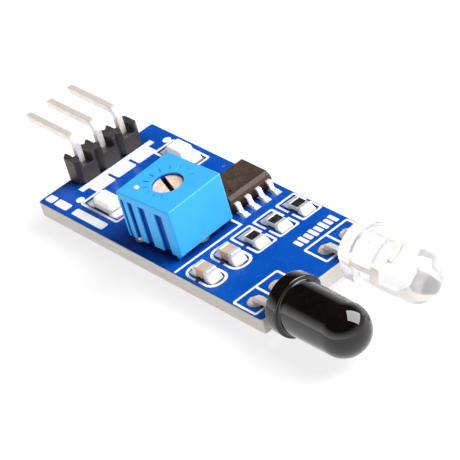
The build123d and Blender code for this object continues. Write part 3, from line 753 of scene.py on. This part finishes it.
def place_group(tree, group, **inputs):
    """One use of a shared group in a material."""
    return add_node(tree, "Group", {"node_tree": group}, **inputs)


def start_material(slot, stretch=(1, 1, 1)):
    """A new material for one of the record's slots, its shader, and its millimetre coordinates."""
    material = bpy.data.materials.new(f"{slot}_finish")
    material.use_nodes = True
    tree = material.node_tree
    where = add_node(tree, "TexCoord")
    scaled = add_node(tree, "Mapping", Vector=where.outputs["Object"])
    scaled.inputs["Scale"].default_value = [axis / MM for axis in stretch]
    MATERIALS[slot] = material
    return tree, tree.nodes["Principled BSDF"], scaled.outputs["Vector"]


def set_plain(shader, **values):
    """Values that are the same all over the surface."""
    for label, value in values.items():
        shader.inputs[label.replace("_", " ")].default_value = value


def spread(tree, mask, low, high):
    """A mask between 0 and 1, moved to run from low to high."""
    return add_node(tree, "MapRange", Value=mask, To_Min=low, To_Max=high).outputs["Result"]


def blend_colour(tree, mask, base, over):
    """Two colours mixed by a mask."""
    return add_node(tree, "Mix", {"data_type": "RGBA"}, i0=mask, i6=base, i7=over).outputs[2]


def add_bump(tree, shader, height, depth, strength=1.0):
    """A bump whose full height is depth metres."""
    bump = add_node(tree, "Bump", Height=height, Distance=depth, Strength=strength)
    tree.links.new(bump.outputs["Normal"], shader.inputs["Normal"])


# %% The two families
def moulded(slot, base, tone, rubbed, roughness, grain=(6.0, 0.004), drift=0.6, rub=2.0, dust=0.3,
            **plain):
    """Plastic, epoxy or ceramic. roughness runs from its first value to its second."""
    tree, shader, where = start_material(slot)
    drifting = place_group(tree, MOTTLE, Vector=where, Scale=drift, Base=base, Tone=tone)
    edge = place_group(tree, RUB, Radius=0.06 * MM, Amount=rub)
    lying = place_group(tree, DUST, Vector=where, Scale=2.5, Amount=dust)
    colour = blend_colour(tree, edge.outputs["Mask"], drifting.outputs["Color"], rubbed)
    colour = blend_colour(tree, lying.outputs["Mask"], colour, DUST_COLOUR)
    tree.links.new(colour, shader.inputs["Base Color"])
    tree.links.new(spread(tree, drifting.outputs["Mask"], *roughness), shader.inputs["Roughness"])
    scale, depth = grain
    height = place_group(tree, GRAIN, Vector=where, Scale=scale).outputs["Height"]
    add_bump(tree, shader, height, depth * MM)
    set_plain(shader, **plain)
    return tree, shader, where


def metal(slot, bright, dull, roughness, grain=(5.0, 0.003), drift=1.2, **plain):
    """Plated or soldered metal, from bright and smooth to dull and rough."""
    tree, shader, where = start_material(slot)
    drifting = place_group(tree, MOTTLE, Vector=where, Scale=drift, Base=bright, Tone=dull)
    tree.links.new(drifting.outputs["Color"], shader.inputs["Base Color"])
    tree.links.new(spread(tree, drifting.outputs["Mask"], *roughness), shader.inputs["Roughness"])
    scale, depth = grain
    height = place_group(tree, GRAIN, Vector=where, Scale=scale).outputs["Height"]
    add_bump(tree, shader, height, depth * MM)
    set_plain(shader, **{"Metallic": 1.0, **plain})


# %% [markdown]
# ### Laminate
#
# The bare edge of the board shows glass cloth in resin, cut by a router: pale, dry, and streaked in
# layers, because the cloth lies flat. Noise stretched along X and Y and squeezed in Z draws them.

# %% Laminate
def build_laminate():
    """Pale resin with layers of glass cloth showing at the cut edge."""
    tree, shader, where = start_material("laminate", (0.5, 0.5, 9.0))
    layers = place_group(tree, MOTTLE, Vector=where, Scale=1.0, Base=(0.68, 0.64, 0.59, 1),
                         Tone=(0.5, 0.46, 0.42, 1), Low=0.3, High=0.75)
    tree.links.new(layers.outputs["Color"], shader.inputs["Base Color"])
    tree.links.new(spread(tree, layers.outputs["Mask"], 0.55, 0.8), shader.inputs["Roughness"])
    add_bump(tree, shader, layers.outputs["Mask"], 0.02 * MM, 0.6)
    set_plain(shader, Subsurface_Weight=0.15, Subsurface_Scale=0.3 * MM,
              Subsurface_Radius=(1.0, 0.8, 0.6))


build_laminate()

# %% [markdown]
# ### Solder mask
#
# The blue mask is a glossy lacquer over copper and glass cloth. The weave just shows through it, as
# a faint grid. The lacquer is also thinner and lighter where it has flowed off an edge, which is
# not drawn here. Two waves at right angles, multiplied, make the weave.

# %% Blue solder mask
WEAVE_PITCH = 0.5            # millimetres between the threads of the glass cloth


def build_mask():
    """Deep blue lacquer: a weave in its height and colour, with painted shade near tall parts,
    under a clear glossy coat.
    """
    tree, shader, where = start_material("blue_mask")
    threads = []
    for axis in ("X", "Y"):
        wave = add_node(tree, "TexWave", {"bands_direction": axis}, Vector=where,
                        Scale=0.314 / WEAVE_PITCH, Distortion=0.6, Detail=1.0)
        threads.append(wave.outputs["Fac"])
    cloth = add_node(tree, "Math", {"operation": "MULTIPLY"}, i0=threads[0],
                     i1=threads[1]).outputs[0]
    drifting = place_group(tree, MOTTLE, Vector=where, Scale=0.35, Base=(0.0, 0.07, 0.42, 1),
                           Tone=(0.0, 0.085, 0.5, 1))
    woven = blend_colour(tree, spread(tree, cloth, 0.0, 0.12), drifting.outputs["Color"],
                         (0.0, 0.12, 0.6, 1))
    # Painted shade: the mask's colour turns navy where tall parts block the short rays.
    shut = place_group(tree, RECESS, Reach=2.2 * MM, Amount=0.95)
    shaded = blend_colour(tree, shut.outputs["Mask"], woven, (0.0, 0.012, 0.11, 1))
    lying = place_group(tree, DUST, Vector=where, Scale=4.0, Amount=0.03)
    tree.links.new(blend_colour(tree, lying.outputs["Mask"], shaded, DUST_COLOUR),
                   shader.inputs["Base Color"])
    tree.links.new(spread(tree, drifting.outputs["Mask"], 0.22, 0.32), shader.inputs["Roughness"])
    add_bump(tree, shader, cloth, 0.004 * MM, 0.5)
    set_plain(shader, Coat_Weight=0.15, Coat_Roughness=0.08, IOR=1.5, Specular_IOR_Level=0.2)


build_mask()

# %% [markdown]
# ### Printed ink, pads and solder
#
# The ink is a chalky white that the screen lays down unevenly. The pads are tinned copper, so they
# drift between silver and a warm brown where the tin is thin. Solder is brighter, with soft dimples
# where it froze.

# %% Ink, pads and solder
moulded("white_ink", (0.96, 0.96, 0.97, 1), (0.86, 0.87, 0.9, 1), (0.96, 0.96, 0.96, 1),
        (0.5, 0.65), grain=(12.0, 0.006), drift=3.0, dust=0.2)
metal("gold_tin", (0.9, 0.74, 0.56, 1), (0.72, 0.48, 0.3, 1), (0.4, 0.6), drift=1.6,
      Metallic=0.35)
metal("solder", (0.96, 0.95, 0.93, 1), (0.82, 0.8, 0.78, 1), (0.28, 0.48), grain=(3.0, 0.02),
      drift=1.8, Metallic=0.5)
print("ink, pads and solder:", sorted(MATERIALS))

# %% [markdown]
# ### Wires and plated ends
#
# Plated wire and dipped ends have a soft satin, and the leads a slight warm cast. Only the tones,
# the roughness and the grain change between them.

# %% Wires and ends
metal("tinned_wire", (0.97, 0.91, 0.85, 1), (0.88, 0.79, 0.71, 1), (0.28, 0.45), grain=(4.0, 0.004),
      Metallic=0.4)
metal("end_metal", (0.96, 0.94, 0.91, 1), (0.86, 0.82, 0.78, 1), (0.3, 0.5), grain=(5.0, 0.012),
      Metallic=0.6)
metal("spring_metal", (0.86, 0.74, 0.5, 1), (0.6, 0.47, 0.3, 1), (0.25, 0.4))
metal("gold_wire", (1.0, 0.78, 0.34, 1), (0.85, 0.6, 0.24, 1), (0.12, 0.24))
print("metals:", sorted(MATERIALS))

# %% [markdown]
# ### Sky blue can
#
# The trimmer's can is sky blue and a little soft inside, so light spreads under its surface. Light
# that gets into a flute bounces from blue wall to blue wall, and each bounce takes out more of the
# green, so a flute looks deep blue beside a pale rib. That deep blue is painted shade in the
# colour.
# The can is a plain box apart from what is cut into it, so how deep a point lies inside that box
# says where the painted shade belongs.

# %% Can with painted shade inside its flutes
CAN_HALF = (3.3, 3.5)        # millimetres from the pivot to the can's sides
FLUTE_SHADE_DEPTH = (0.03, 0.22)   # millimetres, where the painted shade begins and where it is full


def build_can():
    """Sky blue plastic with painted shade by depth in the box: min(half - |x|, half - |y|, top - z)
    in its axes.
    """
    tree, shader, where = moulded(
        "sky_plastic", (0.035, 0.43, 0.92, 1), (0.045, 0.47, 0.96, 1), (0.12, 0.55, 0.98, 1),
        (0.4, 0.52), grain=(5.0, 0.006), drift=0.5, rub=0.6, dust=0.08, Subsurface_Weight=0.12,
        Subsurface_Scale=0.3 * MM, Subsurface_Radius=(0.4, 0.6, 1.0))
    own = add_node(tree, "Mapping", {"vector_type": "TEXTURE"}, Vector=where,
                   Location=Vector(frame["joints"][0]["pos_m"]) / MM,
                   Rotation=(0, 0, radians(TRIMMER_TURN)))
    point = add_node(tree, "SeparateXYZ", Vector=own.outputs["Vector"])
    pivot_z = frame["joints"][0]["pos_m"][2]
    depth = add_node(tree, "Math", {"operation": "SUBTRACT"}, i0=(can_top() - pivot_z) / MM,
                     i1=point.outputs["Z"]).outputs[0]
    for axis, half in zip("XY", CAN_HALF):
        out = add_node(tree, "Math", {"operation": "ABSOLUTE"}, i0=point.outputs[axis]).outputs[0]
        inward = add_node(tree, "Math", {"operation": "SUBTRACT"}, i0=half, i1=out).outputs[0]
        depth = add_node(tree, "Math", {"operation": "MINIMUM"}, i0=depth, i1=inward).outputs[0]
    start, full = FLUTE_SHADE_DEPTH
    # Painted shade: deep blue where a point lies deep inside the can's box, as in its flutes.
    deep = add_node(tree, "MapRange", Value=depth, From_Min=start, From_Max=full).outputs["Result"]
    plain = shader.inputs["Base Color"].links[0].from_socket
    tree.links.new(blend_colour(tree, deep, plain, (0.0, 0.055, 0.4, 1)),
                   shader.inputs["Base Color"])


build_can()

# %% [markdown]
# ### Moulded plastics
#
# The header and the chip are black, and the black of the chip is a dull epoxy that looks brown
# where light grazes it. That brown is painted sheen: in the chip's base colour and in the header's
# drifting tone. The rotor, further on, is cream.

# %% Black plastics with painted brown sheen
# Painted sheen: the brown tones below stand for the brown seen where light grazes the black.
moulded("black_plastic", (0.02, 0.018, 0.021, 1), (0.04, 0.029, 0.026, 1), (0.1, 0.08, 0.07, 1),
        (0.34, 0.5), grain=(7.0, 0.01), rub=2.5, dust=0.25)
moulded("chip_plastic", (0.038, 0.018, 0.009, 1), (0.07, 0.034, 0.017, 1), (0.12, 0.1, 0.09, 1),
        (0.42, 0.6), grain=(11.0, 0.016), drift=1.0, dust=0.2)
moulded("seal_rubber", (0.02, 0.02, 0.022, 1), (0.04, 0.04, 0.042, 1), (0.08, 0.08, 0.08, 1),
        (0.6, 0.8))
moulded("potting", (0.05, 0.09, 0.2, 1), (0.08, 0.13, 0.26, 1), (0.1, 0.16, 0.3, 1), (0.35, 0.55))
print("plastics:", sorted(MATERIALS))

# %% [markdown]
# The rotor's slot is painted shade: the colour darkens with depth below the head, so Object Z
# picks the tone, and the head itself stays cream.

# %% Cream rotor with painted shade in its slot
def build_cream():
    """Cream plastic that turns brown below the level of the head, as painted shade."""
    tree, shader, where = moulded("cream_plastic", (0.95, 0.78, 0.64, 1), (0.84, 0.56, 0.4, 1),
                                  (0.95, 0.82, 0.7, 1), (0.3, 0.5), grain=(9.0, 0.02), drift=1.6,
                                  dust=0.1)
    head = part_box("trimmer_rotor")[1][2] / MM
    depth = add_node(tree, "SeparateXYZ", Vector=where).outputs["Z"]
    # Painted shade: brown below the head, in the slot.
    slot_shade = add_node(tree, "MapRange", Value=depth, From_Min=head - 0.25, From_Max=head - 0.06,
                    To_Min=1.0, To_Max=0.0).outputs["Result"]
    unshaded = shader.inputs["Base Color"].links[0].from_socket
    tree.links.new(blend_colour(tree, slot_shade, unshaded, (0.11, 0.045, 0.02, 1)),
                   shader.inputs["Base Color"])


build_cream()

# %% [markdown]
# ### Ceramics, glaze and silicon
#
# These are the hard fired parts: tan capacitor ceramic, white resistor tiles, the black glaze on
# them, and the small grey dies and carbon tracks inside.

# %% Fired parts
moulded("tan_ceramic", (0.6, 0.39, 0.24, 1), (0.7, 0.49, 0.33, 1), (0.78, 0.6, 0.45, 1), (0.4, 0.6),
        grain=(14.0, 0.008), drift=2.0)
moulded("ceramic", (0.8, 0.79, 0.76, 1), (0.68, 0.67, 0.64, 1), (0.9, 0.9, 0.88, 1), (0.45, 0.6),
        grain=(14.0, 0.008), drift=2.0)
moulded("black_glaze", (0.012, 0.012, 0.014, 1), (0.03, 0.03, 0.032, 1), (0.05, 0.05, 0.05, 1),
        (0.12, 0.25), grain=(4.0, 0.006), drift=1.5)
moulded("carbon", (0.02, 0.02, 0.02, 1), (0.05, 0.05, 0.05, 1), (0.08, 0.08, 0.08, 1), (0.5, 0.7))
metal("silicon", (0.34, 0.34, 0.38, 1), (0.2, 0.2, 0.24, 1), (0.1, 0.2))
print("fired parts:", sorted(MATERIALS))

# %% [markdown]
# ### Epoxies
#
# The lamp's epoxy is milky, so light seems to come from inside it: a soft surface with subsurface
# scattering and a faint painted glow, an emission of its own. The receiver's epoxy is dyed so deep
# that only infrared passes, and all that shows is its polish; the brown in its drifting tone is
# partly the dye's own colour and partly painted sheen. The emitter's is clear, so most of the light
# goes through it. Its roughness drifts a little, because a mould is never a lens maker's tool.

# %% Milky and black epoxy
# Painted light: the emission is a glow that brightens the milky lens.
moulded("milky_epoxy", (1.0, 0.93, 0.85, 1), (1.0, 0.96, 0.9, 1), (0.98, 0.96, 0.92, 1),
        (0.18, 0.3), grain=(3.0, 0.006), drift=0.8, dust=0.05, Subsurface_Weight=0.12,
        Subsurface_Scale=0.15 * MM, Subsurface_Radius=(1.0, 0.8, 0.55), Emission_Strength=0.16,
        Emission_Color=(1.0, 0.86, 0.76, 1))
# Partly painted sheen: the brown tone is partly the dye's own colour, partly the brown sheen along
# the barrel.
moulded("black_epoxy", (0.0006, 0.0004, 0.0004, 1), (0.007, 0.003, 0.0018, 1),
        (0.01, 0.006, 0.004, 1), (0.015, 0.04), grain=(0.8, 0.004), drift=0.4, rub=0.5, dust=0.02,
        Coat_Weight=0.85, Coat_Roughness=0.015, IOR=1.3)
print("epoxies:", sorted(MATERIALS))


# %% Clear epoxy
def build_clear():
    """Clear cast epoxy. Lamp light that would be blocked goes straight through it."""
    tree, shader, where = start_material("clear_epoxy")
    drifting = place_group(tree, MOTTLE, Vector=where, Scale=0.5, Base=(0.94, 0.945, 0.955, 1),
                           Tone=(0.9, 0.905, 0.925, 1))
    tree.links.new(drifting.outputs["Color"], shader.inputs["Base Color"])
    tree.links.new(spread(tree, drifting.outputs["Mask"], 0.03, 0.08), shader.inputs["Roughness"])
    height = place_group(tree, GRAIN, Vector=where, Scale=0.9).outputs["Height"]
    add_bump(tree, shader, height, 0.01 * MM)
    set_plain(shader, Transmission_Weight=0.88, IOR=1.5)
    light = add_node(tree, "LightPath")
    through = add_node(tree, "BsdfTransparent")
    either = add_node(tree, "MixShader", i0=light.outputs["Is Shadow Ray"],
                      i1=shader.outputs["BSDF"], i2=through.outputs["BSDF"])
    tree.links.new(either.outputs["Shader"], tree.nodes["Material Output"].inputs["Surface"])


build_clear()

# %% [markdown]
# ## Put the finishes on
#
# Every solid came with a slot named after its stuff, and every new piece was told which slot it
# takes, so one loop dresses them all.

# %% Dress every piece
for solid in NODES.values():
    for slot in solid.material_slots:
        slot.material = MATERIALS[slot.material.name]
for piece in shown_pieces():
    if "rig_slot" in piece:
        piece.data.materials.append(MATERIALS[piece["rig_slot"]])

# %% [markdown]
# ## Floor, light and camera
#
# The module lies on white paper in a light tent. One large softbox stands to the front and right,
# and the tent itself glows, more near the horizon than above and more on the left than on the
# right. The camera looks along the module from the receiver's side with a long lens.

# %% White floor
FLOOR_HALF = 1.2
PAPER_GLOW = 0.8
floor_corners = [(x * FLOOR_HALF, y * FLOOR_HALF, 0)
                 for x, y in ((-1, -1), (1, -1), (1, 1), (-1, 1))]
floor_mesh = bpy.data.meshes.new("floor")
floor_mesh.from_pydata(floor_corners, [], [(0, 1, 2, 3)])
FLOOR = bpy.data.objects.new("floor", floor_mesh)
bpy.context.scene.collection.objects.link(FLOOR)


def build_paper():
    """Paper that glows evenly, as if lit from all round, with a hardly visible drift."""
    tree, shader, where = start_material("paper")
    drifting = place_group(tree, MOTTLE, Vector=where, Scale=0.02, Base=(0.3, 0.3, 0.3, 1),
                           Tone=(0.28, 0.28, 0.285, 1))
    tree.links.new(drifting.outputs["Color"], shader.inputs["Base Color"])
    set_plain(shader, Roughness=0.9, Specular_IOR_Level=0.1, Emission_Strength=PAPER_GLOW,
              Emission_Color=(1, 1, 1, 1))


build_paper()
FLOOR.data.materials.append(MATERIALS["paper"])

# %% Softbox
MIDDLE = (CAD_BOX[0] + CAD_BOX[1]) / 2
KEY_TOWARDS = (0.62, -0.41, 0.67)
KEY_DISTANCE, KEY_SIZE, KEY_POWER = 0.4, 0.34, 3.0   # metres, metres, watts


def softbox(name, direction, distance, size, power):
    """A square area light, that far from the middle of the module and facing it."""
    lamp = bpy.data.lights.new(name, "AREA")
    lamp.shape, lamp.size, lamp.energy = "SQUARE", size, power
    box = bpy.data.objects.new(name, lamp)
    bpy.context.scene.collection.objects.link(box)
    towards = Vector(direction).normalized()
    box.location = MIDDLE + distance * towards
    box.rotation_mode = "QUATERNION"
    box.rotation_quaternion = towards.to_track_quat("Z", "Y")
    print(f"{name}: {power} W, {size} m, {distance} m away")


softbox("key", KEY_TOWARDS, KEY_DISTANCE, KEY_SIZE, KEY_POWER)

# %% Glowing tent
HORIZON_GLOW, TOP_GLOW = 1.0, 0.03
LEFT_GLOW, RIGHT_GLOW = 2.2, 0.7
TENT = bpy.data.worlds.new("tent")
TENT.use_nodes = True
bpy.context.scene.world = TENT
sky = add_node(TENT.node_tree, "TexCoord")
towards = add_node(TENT.node_tree, "SeparateXYZ", Vector=sky.outputs["Generated"])
rising = add_node(TENT.node_tree, "MapRange", Value=towards.outputs["Z"], From_Min=0.05,
                  From_Max=0.5, To_Min=HORIZON_GLOW, To_Max=TOP_GLOW)
sideways = add_node(TENT.node_tree, "MapRange", Value=towards.outputs["X"], From_Min=-1.0,
                    From_Max=1.0, To_Min=LEFT_GLOW, To_Max=RIGHT_GLOW)
glow = add_node(TENT.node_tree, "Math", {"operation": "MULTIPLY"}, i0=rising.outputs["Result"],
                i1=sideways.outputs["Result"])
TENT.node_tree.links.new(glow.outputs[0], TENT.node_tree.nodes["Background"].inputs["Strength"])
TENT.node_tree.nodes["Background"].inputs["Color"].default_value = (1, 1, 1, 1)

# %% Camera
AZIMUTH, ELEVATION, ROLL = radians(-30.94), radians(34.95), radians(-16.87)
DISTANCE = 0.26248
SENSOR, LENS = 36.0, 231.9
AIM_OFFSET = Vector((-0.012, -3.736, 0.0)) * MM   # from the middle of the board's top
board_low, board_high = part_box("top_solder_mask")
board_top = Vector(((board_low.x + board_high.x) / 2, (board_low.y + board_high.y) / 2,
                    board_high.z))
LOOK_AT = board_top + AIM_OFFSET
back = Vector((sin(AZIMUTH) * cos(ELEVATION), -cos(AZIMUTH) * cos(ELEVATION), sin(ELEVATION)))
level = Vector((cos(AZIMUTH), sin(AZIMUTH), 0))
upward = back.cross(level)
across = level * cos(ROLL) + upward * sin(ROLL)
upright = upward * cos(ROLL) - level * sin(ROLL)
camera = bpy.data.objects.new("camera", bpy.data.cameras.new("camera"))
camera.data.sensor_width, camera.data.lens = SENSOR, LENS
camera.data.clip_start, camera.data.clip_end = 0.01, 10
camera.matrix_world = Matrix.Translation(LOOK_AT + DISTANCE * back) @ Matrix(
    (across, upright, back)).transposed().to_4x4()
bpy.context.scene.collection.objects.link(camera)
bpy.context.scene.camera = camera
bpy.context.scene.view_settings.view_transform = "Standard"
print(f"camera {DISTANCE} m away, {degrees(2 * atan(SENSOR / 2 / LENS)):.1f} degrees wide")
